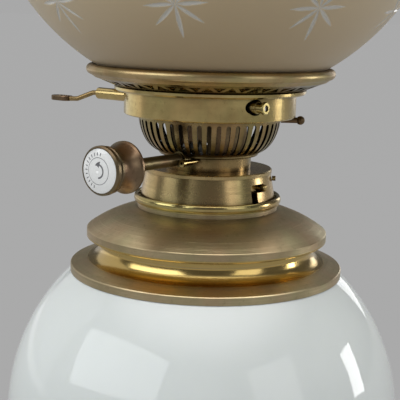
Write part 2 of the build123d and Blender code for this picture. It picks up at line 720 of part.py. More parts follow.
# ---- glass ----------------------------------------------------------------------------------
with BuildPart() as chimney:
    inner = CHIMNEY_R - CHIMNEY_WALL
    top = CHIMNEY_FOOT + CHIMNEY_TALL
    with BuildSketch(Plane.XZ):
        with BuildLine():
            Line((CHIMNEY_R, CHIMNEY_FOOT), (CHIMNEY_R, 266.0))
            Spline((CHIMNEY_R, 266.0), (37.5, 300.0), (27.5, 352.0), (21.6, 410.0), (22.0, top),
                   tangents=((0, 1), (0, 1)))
            Line((22.0, top), (22.0 - CHIMNEY_WALL, top))
            Spline((22.0 - CHIMNEY_WALL, top), (21.6 - CHIMNEY_WALL, 410.0), (27.5 - CHIMNEY_WALL, 352.0),
                   (37.5 - CHIMNEY_WALL, 300.0), (inner, 266.0), tangents=((0, -1), (0, -1)))
            Line((inner, 266.0), (inner, CHIMNEY_FOOT))
            Line((inner, CHIMNEY_FOOT), (CHIMNEY_R, CHIMNEY_FOOT))
        make_face()
    revolve(axis=Axis.Z)

with BuildPart() as shade:
    ball_in = SHADE_R - SHADE_WALL
    fitter_in = SHADE_FITTER_R - SHADE_WALL
    with BuildSketch(Plane.XZ):
        with BuildLine():
            Line(
                (SHADE_FITTER_R, SHADE_FOOT),
                (SHADE_FITTER_R, SHADE_MID - ball_rise(SHADE_FITTER_R, SHADE_R)),
            )
            ThreePointArc(
                (SHADE_FITTER_R, SHADE_MID - ball_rise(SHADE_FITTER_R, SHADE_R)),
                (SHADE_R, SHADE_MID),
                (SHADE_TOP_R, SHADE_MID + ball_rise(SHADE_TOP_R, SHADE_R)),
            )
            Line(
                (SHADE_TOP_R, SHADE_MID + ball_rise(SHADE_TOP_R, SHADE_R)),
                (SHADE_TOP_R, SHADE_MID + ball_rise(SHADE_TOP_R, ball_in)),
            )
            ThreePointArc(
                (SHADE_TOP_R, SHADE_MID + ball_rise(SHADE_TOP_R, ball_in)),
                (ball_in, SHADE_MID),
                (fitter_in, SHADE_MID - ball_rise(fitter_in, ball_in)),
            )
            Line((fitter_in, SHADE_MID - ball_rise(fitter_in, ball_in)), (fitter_in, SHADE_FOOT))
            Line((fitter_in, SHADE_FOOT), (SHADE_FITTER_R, SHADE_FOOT))
        make_face()
    revolve(axis=Axis.Z)

# ---- output ---------------------------------------------------------------------------------
pieces = {
    "felt_pad": felt_pad,
    "base_plate": base_plate,
    "base_weight": base_weight,
    "foot": foot,
    "foot_screws": foot_screws,
    "foot_ring": foot_ring,
    "foot_cement": foot_cement,
    "globe_body": globe_body,
    "mount_cement": mount_cement,
    "mount_ring": mount_ring,
    "font_vessel": font_vessel,
    "font_shoulder": font_shoulder,
    "font_collar": font_collar,
    "collar_pins": collar_pins,
    "burner_skirt": burner_skirt,
    "skirt_screws": skirt_screws,
    "burner_neck": burner_neck,
    "air_basket": air_basket,
    "burner_band": burner_band,
    "stop_stud": stop_stud,
    "baffle_plate": baffle_plate,
    "wick_tube_right": wick_tube_right,
    "wick_tube_left": wick_tube_left,
    "winder_bearing": winder_bearing,
    "bearing_screw": bearing_screw,
    "front_plate": front_plate,
    "rear_plate": rear_plate,
    "shaft_bush_right": shaft_bush_right,
    "shaft_bush_left": shaft_bush_left,
    "inner_spindle": inner_spindle,
    "spiked_wheels_right": spiked_wheels_right,
    "front_knob": front_knob,
    "porcelain_disc": porcelain_disc,
    "winder_sleeve": winder_sleeve,
    "rear_knob": rear_knob,
    "sleeve_gear": sleeve_gear,
    "idler_spindle": idler_spindle,
    "idler_gear": idler_gear,
    "spiked_wheels_left": spiked_wheels_left,
    "wick_right": wick_right,
    "wick_left": wick_left,
    "rock_shaft": rock_shaft,
    "lift_arm": lift_arm,
    "lever_wire": lever_wire,
    "thumb_loop": thumb_loop,
    "snuffer_right": snuffer_right,
    "snuffer_left": snuffer_left,
    "snuffer_bridge": snuffer_bridge,
    "gallery_base": gallery_base,
    "pierced_gallery": pierced_gallery,
    "shade_ring": shade_ring,
    "deflector_dome": deflector_dome,
    "chimney_prongs": chimney_prongs,
    "chimney": chimney,
    "shade": shade,
}
os.makedirs("parts", exist_ok=True)
for name, piece in pieces.items():
    piece.part.label = name
    export_step(piece.part, f"parts/{name}.step")
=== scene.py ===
"""Looks of the oil lamp: finishes for its CAD pieces, detailed glass and wicks, lights and camera."""
import json
import math

import bpy
import numpy as np
from mathutils import Matrix, Quaternion, Vector


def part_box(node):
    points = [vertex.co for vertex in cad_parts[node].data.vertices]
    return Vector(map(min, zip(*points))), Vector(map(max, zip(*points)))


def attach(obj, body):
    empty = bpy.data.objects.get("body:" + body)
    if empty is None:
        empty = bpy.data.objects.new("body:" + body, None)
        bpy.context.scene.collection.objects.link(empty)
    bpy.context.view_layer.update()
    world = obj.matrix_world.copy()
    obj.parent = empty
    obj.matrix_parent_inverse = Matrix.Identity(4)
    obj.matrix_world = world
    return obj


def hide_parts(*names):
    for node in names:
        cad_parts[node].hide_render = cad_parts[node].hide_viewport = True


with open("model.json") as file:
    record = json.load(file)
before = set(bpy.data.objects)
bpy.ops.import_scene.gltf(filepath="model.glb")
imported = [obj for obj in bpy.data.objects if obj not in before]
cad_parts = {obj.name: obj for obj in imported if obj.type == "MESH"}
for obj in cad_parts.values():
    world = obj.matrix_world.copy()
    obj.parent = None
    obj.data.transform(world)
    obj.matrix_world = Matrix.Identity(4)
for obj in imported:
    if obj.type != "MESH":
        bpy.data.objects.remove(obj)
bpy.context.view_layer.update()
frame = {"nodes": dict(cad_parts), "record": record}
nodes = frame["nodes"]


# ---- material graphs ------------------------------------------------------------------------
# Noise scales are per metre, so 1 / scale is about the size of a patch; bump distances are in metres.
class Graph:
    """A material's node tree, with short calls for the nodes that the finishes use."""

    def __init__(self, name):
        self.material = bpy.data.materials.new(name)
        self.material.use_nodes = True
        self.tree = self.material.node_tree
        self.shader = self.tree.nodes["Principled BSDF"]

    def node(self, kind, values=None, **settings):
        made = self.tree.nodes.new(kind)
        for key, value in settings.items():
            setattr(made, key, value)
        for socket, value in (values or {}).items():
            if isinstance(value, bpy.types.NodeSocket):
                self.tree.links.new(value, made.inputs[socket])
            else:
                made.inputs[socket].default_value = value
        return made

    def set(self, **values):
        for key, value in values.items():
            socket = self.shader.inputs[key.replace("_", " ")]
            if isinstance(value, bpy.types.NodeSocket):
                self.tree.links.new(value, socket)
            else:
                socket.default_value = value

    def position(self):
        return self.node("ShaderNodeTexCoord").outputs["Object"]

    def math(self, operation, a, b=0.0):
        return self.node("ShaderNodeMath", {0: a, 1: b}, operation=operation).outputs[0]

    def vector(self, operation, a, b=(0.0, 0.0, 0.0)):
        return self.node("ShaderNodeVectorMath", {0: a, 1: b}, operation=operation)

    def noise(self, vector, scale, detail=3.0, rough=0.5):
        values = {"Vector": vector, "Scale": scale, "Detail": detail, "Roughness": rough}
        return self.node("ShaderNodeTexNoise", values).outputs["Fac"]

    def ramp(self, factor, *stops):
        """Colours or greys between stops of (place, colour)."""
        made = self.node("ShaderNodeValToRGB", {"Fac": factor})
        elements = made.color_ramp.elements
        while len(elements) < len(stops):
            elements.new(0.5)
        for element, (place, colour) in zip(elements, stops):
            element.position = place
            grey = isinstance(colour, (int, float))
            element.color = (colour, colour, colour, 1) if grey else (*colour, 1)
        return made.outputs["Color"]

    def span(self, factor, low, high, out_low, out_high):
        values = {"Value": factor, 1: low, 2: high, 3: out_low, 4: out_high}
        return self.node("ShaderNodeMapRange", values).outputs[0]

    def mix(self, factor, a, b, blend="MIX"):
        made = self.node("ShaderNodeMix", data_type="RGBA", blend_type=blend)
        for index, value in ((0, factor), (6, a), (7, b)):
            if isinstance(value, bpy.types.NodeSocket):
                self.tree.links.new(value, made.inputs[index])
            else:
                made.inputs[index].default_value = value if index == 0 else (*value, 1)
        return made.outputs[2]

    def bump(self, height, distance, strength=1.0, normal=None):
        values = {"Height": height, "Distance": distance, "Strength": strength}
        if normal is not None:
            values["Normal"] = normal
        return self.node("ShaderNodeBump", values).outputs["Normal"]

    def turned(self):
        """(radius from the lamp's axis, height) as a vector, so that lines run round the turned pieces."""
        split = self.node("ShaderNodeSeparateXYZ", {0: self.position()})
        x2 = self.math("MULTIPLY", split.outputs[0], split.outputs[0])
        y2 = self.math("MULTIPLY", split.outputs[1], split.outputs[1])
        radius = self.math("SQRT", self.math("ADD", x2, y2))
        return self.node("ShaderNodeCombineXYZ", {0: radius, 1: split.outputs[2], 2: 0.0}).outputs[0]


GRIME_AND_SHADE_REACH = 0.0028                   # how far from a corner grime and painted shade reach, in metres
POLISH_EDGE = 0.0004                   # over which a burnished band fades out
DENT_DEPTH = 0.00005
# Near black: the painted shade inside an open bowl.
BOWL_INSIDE_SHADE = (0.012, 0.010, 0.008)


def brass(name, tone, dark, rough, line_depth, patina=0.5, lathe=True, polished=None, bowl_top=None):
    """Aged brass: turning lines, streaks that run round the piece, cloudy tarnish, dark specks, and grime
    with painted shade in hollows and corners.

    polished is (low, high, colour): between those heights the metal is burnished to that colour.
    bowl_top is the height of an open bowl's rim: faces that don't look away from its middle are painted
    nearly black, a painted shade inside the bowl.
    """
    g = Graph(name)
    place = g.position()
    along = g.turned() if lathe else place
    cloud = g.noise(place, 38.0, 4.0, 0.65)
    speck = g.noise(place, 420.0, 3.0, 0.7)
    streak = g.noise(along, 900.0, 2.0, 0.6)
    broken = g.span(g.noise(place, 90.0, 2.0), 0.35, 0.65, 0.1, 1.0)
    patchy = g.math("MULTIPLY", g.span(streak, 0.40, 0.68, 0.0, 1.0), broken)
    tarnish = g.ramp(cloud, (0.38, 1.0), (0.70, 0.0))
    spots = g.ramp(speck, (0.58, 0.0), (0.72, 1.0))
    pale = tuple(min(1.0, c * 1.30 + 0.03) for c in tone)
    base = g.mix(g.math("MULTIPLY", patchy, 0.55), tone, pale)
    base = g.mix(g.math("MULTIPLY", tarnish, patina), base, dark)
    base = g.mix(g.math("MULTIPLY", spots, 0.55 * patina), base, tuple(c * 0.45 for c in dark))
    upright = g.node("ShaderNodeMapping", {"Vector": place, "Scale": (1.0, 1.0, 0.35)}).outputs[0]
    blush = g.noise(upright, 75.0, 2.0)
    copper = (tone[0] * 1.04, tone[1] * 0.80, tone[2] * 0.82)
    olive = (tone[0] * 0.74, tone[1] * 0.90, tone[2] * 0.80)
    base = g.mix(g.span(blush, 0.50, 0.66, 0.0, 0.5 * patina), base, copper)
    base = g.mix(g.span(blush, 0.48, 0.34, 0.0, 0.6 * patina), base, olive)
    # Grime and painted shade: the base is darker in hollows, corners and under beads, by ambient occlusion.
    hollow = g.node("ShaderNodeAmbientOcclusion", {"Distance": GRIME_AND_SHADE_REACH}, samples=8).outputs["AO"]
    grime_and_shade = g.span(g.math("ADD", hollow, g.math("MULTIPLY", cloud, 0.2)), 0.45, 1.0, 0.75, 0.0)
    base = g.mix(grime_and_shade, base, tuple(c * 0.22 for c in dark))
    # Painted shade: faces inside an open bowl are painted nearly black.
    if bowl_top:
        middle = (0.0, 0.0, bowl_top)
        out = g.vector("SUBTRACT", place, middle).outputs[0]
        out = g.vector("NORMALIZE", out).outputs[0]
        facing = g.node("ShaderNodeNewGeometry").outputs["True Normal"]
        outward = g.vector("DOT_PRODUCT", out, facing).outputs["Value"]
        base = g.mix(g.span(outward, 0.25, 0.60, 1.0, 0.0), base, BOWL_INSIDE_SHADE)
    fine = g.noise(along, 2600.0, 1.0, 0.4)
    broad = g.noise(along, 500.0, 2.0, 0.5)
    lines = g.math("ADD", fine, g.math("MULTIPLY", broad, 0.8))
    dents = g.noise(place, 110.0, 2.0, 0.5)
    dulled = g.math("MULTIPLY", tarnish, 0.14 * patina)
    pitted = g.math("MULTIPLY", spots, 0.16 * patina)
    uneven = g.math("ADD", dulled, pitted)
    worn = g.math("ADD", g.math("MULTIPLY", patchy, -0.05), rough)
    depth = 1.0
    if polished:
        height = g.node("ShaderNodeSeparateXYZ", {0: place}).outputs[2]
        low, high, gold = polished
        above = g.span(height, low, low + POLISH_EDGE, 0, 1)
        below = g.span(height, high - POLISH_EDGE, high, 1, 0)
        cove = g.math("MULTIPLY", above, below)
        base = g.mix(g.math("MULTIPLY", cove, 0.75), base, gold)
        worn = g.math("SUBTRACT", worn, g.math("MULTIPLY", cove, 0.17))
        depth = g.span(cove, 0.0, 1.0, 1.0, 0.15)
    normal = g.bump(lines, line_depth, depth, g.bump(dents, DENT_DEPTH, 0.2))
    g.set(Base_Color=base, Metallic=1.0, Roughness=g.math("ADD", uneven, worn), Normal=normal)
    return g.material


def opal_glass():
    """Opal glass: milky body with a wet gloss and the slight waviness of blown glass."""
    g = Graph("opal_glass")
    place = g.position()
    wave = g.noise(place, 14.0, 2.0, 0.4)
    milk = g.noise(place, 24.0, 3.0, 0.5)
    seeds = g.ramp(g.noise(place, 900.0, 1.0, 0.5), (0.74, 0.0), (0.80, 1.0))
    base = g.mix(milk, (0.66, 0.70, 0.685), (0.73, 0.765, 0.745))
    base = g.mix(g.math("MULTIPLY", seeds, 0.10), base, (0.55, 0.57, 0.54))
    g.set(
        Base_Color=base, Roughness=0.05, Normal=g.bump(wave, 0.0006, 0.25),
        Subsurface_Weight=0.25, Subsurface_Radius=(0.006, 0.006, 0.005), Subsurface_Scale=1.0, IOR=1.52,
    )
    return g.material


FOOT_SHADE_TALL = 0.06                      # painted shade at the ball shade's foot: darker and browner there, fading out over this height


def frosted_glass():
    """Acid-frosted glass with a warm tint, painted darker and browner towards its foot as painted shade and
    paler edge-on as a painted sheen; the cut attribute marks the polished cuts.
    """
    g = Graph("frosted_glass")
    place = g.position()
    cut = g.node("ShaderNodeAttribute", attribute_name="cut").outputs["Fac"]
    cloud = g.noise(place, 22.0, 3.0, 0.5)
    grain = g.noise(place, 2400.0, 2.0, 0.6)
    height = g.node("ShaderNodeSeparateXYZ", {0: place}).outputs[2]
    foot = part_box("shade")[0].z
    # Painted shade: the glass is darker and browner near the foot, fading out upwards.
    rise = g.span(g.math("ADD", height, g.math("MULTIPLY", cloud, 0.012)), foot, foot + FOOT_SHADE_TALL, 0.0, 1.0)
    tint_shade_and_sheen = g.mix(rise, (0.465, 0.295, 0.105), (0.91, 0.755, 0.495))
    # Painted sheen: the glass is painted paler where it is seen edge-on.
    edge = g.node("ShaderNodeLayerWeight", {"Blend": 0.35}).outputs["Facing"]
    tint_shade_and_sheen = g.mix(g.math("MULTIPLY", edge, 0.6), tint_shade_and_sheen, (0.86, 0.81, 0.69))
    base = g.mix(cut, tint_shade_and_sheen, (0.93, 0.92, 0.86))
    frost = g.span(cut, 0.0, 1.0, 0.50, 0.10)
    rough = g.math("ADD", frost, g.math("MULTIPLY", grain, 0.05))
    g.set(
        Base_Color=base, Roughness=rough, Transmission_Weight=g.span(cut, 0.0, 1.0, 0.30, 0.35), IOR=1.5,
        Normal=g.bump(grain, 0.00002, 0.5),
    )
    return g.material


def clear_glass():
    """Clear lamp glass with faint draw lines."""
    g = Graph("clear_glass")
    place = g.position()
    stretched = g.node("ShaderNodeMapping", {"Vector": place, "Scale": (60.0, 60.0, 4.0)}).outputs[0]
    drawn = g.noise(stretched, 1.0, 2.0)
    dust = g.noise(place, 700.0, 3.0, 0.6)
    g.set(
        Base_Color=(0.97, 0.985, 0.98, 1), Roughness=g.span(dust, 0.5, 0.8, 0.01, 0.08),
        Transmission_Weight=1.0, IOR=1.5, Normal=g.bump(drawn, 0.0004, 0.25),
    )
    return g.material


# The disc's print: rings at these shares of its radius, with half widths in metres.
TICK_RING = 0.76
TICK_HALF = 0.00085
TICK_TURNS = 13.0                      # two ticks to each
THIN_RING = 0.60
THIN_HALF = 0.00015
ARROW_RING = 0.30
ARROW_HALF = 0.00042
ARROW_BARB = 0.0014


def porcelain():
    """White glazed disc printed with a thin ring, a dial of short ticks and a turn arrow, finely crazed."""
    g = Graph("porcelain")
    place = g.position()
    lo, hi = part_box("porcelain_disc")
    middle = (lo + hi) / 2
    local = g.vector("SUBTRACT", place, tuple(middle)).outputs[0]
    split = g.node("ShaderNodeSeparateXYZ", {0: local})
    x, z = split.outputs[0], split.outputs[2]
    radius = g.math("SQRT", g.math("ADD", g.math("MULTIPLY", x, x), g.math("MULTIPLY", z, z)))
    disc_r = (hi.x - lo.x) / 2

    def ring(at, half_width):
        near = g.math("ABSOLUTE", g.math("SUBTRACT", radius, at * disc_r))
        return g.span(near, half_width * 0.6, half_width, 1.0, 0.0)

    turn = g.math("ARCTAN2", z, x)
    tick = g.math("ABSOLUTE", g.math("SINE", g.math("MULTIPLY", turn, TICK_TURNS)))
    left_side = g.span(g.math("COSINE", g.math("SUBTRACT", turn, 2.85)), 0.0, 0.04, 0.0, 1.0)
    ticks = g.math("MULTIPLY", g.span(tick, 0.34, 0.46, 1.0, 0.0), ring(TICK_RING, TICK_HALF))
    ticks = g.math("MULTIPLY", ticks, left_side)
    from_ring = g.math("ABSOLUTE", g.math("SUBTRACT", radius, ARROW_RING * disc_r))
    head = g.math("LESS_THAN", from_ring, g.span(turn, 1.3, 2.2, ARROW_BARB, 0.0))
    head = g.math("MULTIPLY", head, g.math("GREATER_THAN", turn, 1.3))
    half_turn = g.span(g.math("ABSOLUTE", turn), 1.5, 1.55, 1.0, 0.0)
    shaft = g.math("MULTIPLY", ring(ARROW_RING, ARROW_HALF), half_turn)
    arrow = g.math("MAXIMUM", shaft, head)
    ink = g.math("MAXIMUM", g.math("MAXIMUM", ticks, arrow), ring(THIN_RING, THIN_HALF))
    craze = g.node("ShaderNodeTexVoronoi", {"Vector": place, "Scale": 900.0}, feature="DISTANCE_TO_EDGE")
    crack = g.span(craze.outputs["Distance"], 0.0, 0.025, 0.16, 0.0)
    stain = g.noise(place, 300.0, 3.0, 0.6)
    base = g.mix(stain, (0.97, 0.975, 0.97), (0.92, 0.92, 0.89))
    base = g.mix(crack, base, (0.45, 0.40, 0.32))
    base = g.mix(g.math("MULTIPLY", ink, 0.9), base, (0.05, 0.05, 0.06))
    g.set(Base_Color=base, Roughness=0.18, Coat_Weight=1.0, Coat_Roughness=0.05)
    return g.material


def steel():
    """Plain turned steel with a light film of oil."""
    g = Graph("steel")
    place = g.position()
    film = g.noise(place, 160.0, 3.0, 0.6)
    squeezed = g.node("ShaderNodeMapping", {"Vector": place, "Scale": (900.0, 5000.0, 900.0)}).outputs[0]
    turned = g.noise(squeezed, 1.0)
    g.set(
        Base_Color=g.mix(film, (0.42, 0.41, 0.39), (0.30, 0.28, 0.25)), Metallic=1.0,
        Roughness=g.span(film, 0.3, 0.7, 0.25, 0.45), Normal=g.bump(turned, 0.00002, 0.5),
    )
    return g.material


def cast_iron():
    """Cast iron with a sand-cast skin."""
    g = Graph("cast_iron")
    skin = g.noise(g.position(), 900.0, 4.0, 0.7)
    g.set(
        Base_Color=g.mix(skin, (0.05, 0.05, 0.05), (0.14, 0.12, 0.10)), Metallic=0.6, Roughness=0.72,
        Normal=g.bump(skin, 0.0003, 0.8),
    )
    return g.material


def felt():
    """Dark green felt with matted fibres."""
    g = Graph("felt")
    place = g.position()
    mat = g.noise(place, 1500.0, 5.0, 0.8)
    tone = g.noise(place, 60.0, 3.0, 0.5)
    base = g.mix(tone, (0.020, 0.045, 0.026), (0.035, 0.070, 0.040))
    g.set(
        Base_Color=g.mix(mat, base, (0.07, 0.11, 0.07)), Roughness=0.95, Normal=g.bump(mat, 0.0004, 0.9),
        Sheen_Weight=0.5, Sheen_Roughness=0.5,
    )
    return g.material


RIB_RATE = 5200.0                      # the weave's waves, in radians per metre
PICK_RATE = 4200.0
CHAR_TALL = 0.004


def cotton():
    """Flat woven wick: ribs along its length, a plain weave across them, scorched at the top."""
    g = Graph("cotton")
    place = g.position()
    split = g.node("ShaderNodeSeparateXYZ", {0: place})
    ribs = g.math("SINE", g.math("MULTIPLY", split.outputs[1], RIB_RATE))
    picks = g.math("SINE", g.math("MULTIPLY", split.outputs[2], PICK_RATE))
    weave = g.math("MULTIPLY", ribs, picks)
    fibre = g.noise(place, 2200.0, 4.0, 0.7)
    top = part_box("wick_right")[1].z
    ragged = g.math("ADD", split.outputs[2], g.math("MULTIPLY", fibre, 0.002))
    char = g.span(ragged, top - CHAR_TALL, top, 0.0, 0.9)
    base = g.mix(fibre, (0.80, 0.74, 0.62), (0.66, 0.59, 0.46))
    base = g.mix(g.span(weave, -1.0, 0.2, 0.35, 0.0), base, (0.40, 0.34, 0.25))
    g.set(
        Base_Color=g.mix(char, base, (0.02, 0.018, 0.015)), Roughness=0.9,
        Normal=g.bump(g.math("ADD", weave, fibre), 0.0003, 0.8),
    )
    return g.material


def plaster():
    """Dry plaster of Paris with pinholes."""
    g = Graph("plaster")
    place = g.position()
    grain = g.noise(place, 700.0, 4.0, 0.7)
    g.set(
        Base_Color=g.mix(grain, (0.72, 0.69, 0.62), (0.82, 0.80, 0.74)), Roughness=0.9,
        Normal=g.bump(grain, 0.0003, 0.7),
    )
    return g.material


SATIN = dict(tone=(0.58, 0.475, 0.285), dark=(0.29, 0.22, 0.125), rough=0.32,
line_depth=0.00009, patina=0.45)
finishes = {
    "satin_brass": brass("satin_brass", **SATIN),
    "drawn_brass": brass(
        "drawn_brass", tone=(0.66, 0.52, 0.22), dark=(0.24, 0.17, 0.065), rough=0.16,
        line_depth=0.000006, patina=0.6,
    ),
    "knob_brass": brass(
        "knob_brass", tone=(0.27, 0.195, 0.115), dark=(0.10, 0.065, 0.04), rough=0.29,
        line_depth=0.000004,
        patina=0.8, lathe=False,
    ),
    "opal_glass": opal_glass(),
    "frosted_glass": frosted_glass(),
    "clear_glass": clear_glass(),
    "porcelain": porcelain(),
    "steel": steel(),
    "cast_iron": cast_iron(),
    "felt": felt(),
    "cotton": cotton(),
    "plaster": plaster(),
}

# Brass that differs from its slot's finish where the lamp is burnished, browned, tarnished or sooty, and the
# air basket, whose inside is painted nearly black as painted shade.
ring_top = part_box("mount_ring")[1].z
cove_brass = brass(
    "cove_brass", **SATIN, polished=(ring_top - 0.0070, ring_top - 0.0004, (0.74, 0.51, 0.15)),
)
basket_brass = brass(
    "basket_brass", tone=(0.50, 0.38, 0.17), dark=(0.13, 0.085, 0.035), rough=0.21,
    line_depth=0.000006, patina=0.8,
    bowl_top=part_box("air_basket")[1].z,
)
bead_brass = brass(
    "bead_brass", tone=(0.58, 0.445, 0.225), dark=(0.24, 0.17, 0.075), rough=0.33,
    line_depth=0.00002, patina=0.6,
)
brown_brass = brass(
    "brown_brass", tone=(0.25, 0.185, 0.10), dark=(0.09, 0.06, 0.03), rough=0.33,
    line_depth=0.000006, patina=0.8,
)
shoulder_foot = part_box("font_shoulder")[0].z
shoulder_brass = brass(
    "shoulder_brass", tone=(0.56, 0.455, 0.27), dark=(0.27, 0.20, 0.11), rough=0.36,
    line_depth=0.00010, patina=0.5,
    polished=(shoulder_foot, shoulder_foot + 0.0080, (0.60, 0.425, 0.13)),
)
skirt_brass = brass(
    "skirt_brass", tone=(0.66, 0.50, 0.235), dark=(0.26, 0.18, 0.08), rough=0.21,
    line_depth=0.000003, patina=0.6,
)
toned_brass = brass(
    "toned_brass", tone=(0.44, 0.345, 0.15), dark=(0.11, 0.075, 0.03), rough=0.19,
    line_depth=0.000006, patina=0.85,
)
sooty_brass = brass(
    "sooty_brass", tone=(0.20, 0.14, 0.07), dark=(0.05, 0.035, 0.02), rough=0.42,
    line_depth=0.000006, patina=0.9,
)
SOOTY = (
    "baffle_plate", "wick_tube_right", "wick_tube_left", "snuffer_right", "snuffer_left", "snuffer_bridge",
)
TONED = ("burner_neck", "pierced_gallery", "winder_bearing", "lever_wire")
special = {name: sooty_brass for name in SOOTY} | {name: toned_brass for name in TONED} | {
    "mount_ring": cove_brass, "air_basket": basket_brass, "shade_ring": bead_brass,
    "winder_sleeve": brown_brass, "stop_stud": brown_brass, "font_shoulder": shoulder_brass,
    "burner_skirt": skirt_brass,
}
slot_of = {row["node"]: row["material_slot"] for row in frame["record"]["subparts"]}
for name, node in nodes.items():
    finish = special.get(name, finishes[slot_of[name]])
    node.data.materials.clear()
    node.data.materials.append(finish)


# ---- pieces that replace CAD nodes ----------------------------------------------------------
def mesh_piece(name, vertices, faces, slot, body, replaced):
    """A smooth mesh piece in the lamp's frame, which rides on a body and stands for a CAD node."""
    mesh = bpy.data.meshes.new(name)
    mesh.from_pydata([tuple(v) for v in vertices], [], [tuple(f) for f in faces])
    mesh.validate()
    mesh.polygons.foreach_set("use_smooth", [True] * len(mesh.polygons))
    mesh.materials.append(finishes[slot])
    piece = bpy.data.objects.new(name, mesh)
    bpy.context.scene.collection.objects.link(piece)
    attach(piece, body)
    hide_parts(replaced)
    return piece


def ring_faces(rows, columns):
    """Quads between rows of points, closed round each row and from the last row to the first."""
    faces = []
    for i in range(rows):
        here, above = i * columns, (i + 1) % rows * columns
        for j in range(columns):
            k = (j + 1) % columns
            faces.append((here + j, here + k, above + k, above + j))
    return faces


# Cut-star shade: a ball shell whose outer face has V-cut rays. Lengths are in metres.
SHADE_WALL = 0.003
SHADE_MOUTH_R = 0.046
SHADE_FITTER_R = 0.0508
STARS = 9
RAYS = 8                               # to a star; the even ones are upright or level
STAR_TURN = math.radians(-62.5)        # the first star's angle from +X
STAR_LAT = math.radians(-36.6)         # below the ball's middle
STAR_TILT = math.radians(5.0)
RAY_LONG = 0.0172
RAY_WIDE = 0.0126
RAY_DIAGONAL = 0.0138
RAY_HALF = 0.00095
CUT_DEPTH = 0.00060
CUT_EDGE = 6.0                         # how sharply frost turns to polish at a cut's edge

# Rows and columns of the shade's mesh are closer together over the stars.
STAR_REACH = math.radians(10.5)        # to each side of a star's middle
STAR_BAND = math.radians(10.8)         # above and below it
COLUMNS_OVER_STAR = 105
COLUMNS_BETWEEN_STARS = 12
ROWS_BELOW_STARS = 10
ROWS_OVER_STARS = 108
ROWS_ABOVE_STARS = 44
ROWS_INSIDE = 50
MOUTH_STEPS = 6                        # round the half round of the mouth's edge


def ray_cut(along, across, length):
    """Depth, 0 to 1, of a leaf-shaped V cut that runs from 0 to its length."""
    t = np.clip(along / length, 0.0, 1.0)
    half = RAY_HALF * np.sin(np.pi * t**0.9) ** 0.8 + 1e-6
    inside = (along > 0) & (along < length)
    return np.where(inside, np.clip(1 - np.abs(across) / half, 0, 1) * (half / RAY_HALF), 0.0)


def star_depth(turn, lat, ball_r):
    """How deep the cuts are at angles round and above the ball's middle."""
    depth = np.zeros_like(turn)
    for k in range(STARS):
        away = (turn - STAR_TURN - 2 * math.pi * k / STARS + math.pi) % (2 * math.pi) - math.pi
        x = away * np.cos(lat) * ball_r
        y = (lat - STAR_LAT) * ball_r
        for ray in range(RAYS):
            angle = 2 * math.pi * ray / RAYS + STAR_TILT
            length = RAY_DIAGONAL if ray % 2 else (RAY_LONG if ray % 4 else RAY_WIDE)
            along = x * math.cos(angle) + y * math.sin(angle)
            across = -x * math.sin(angle) + y * math.cos(angle)
            depth = np.maximum(depth, ray_cut(along, across, length))
    return depth


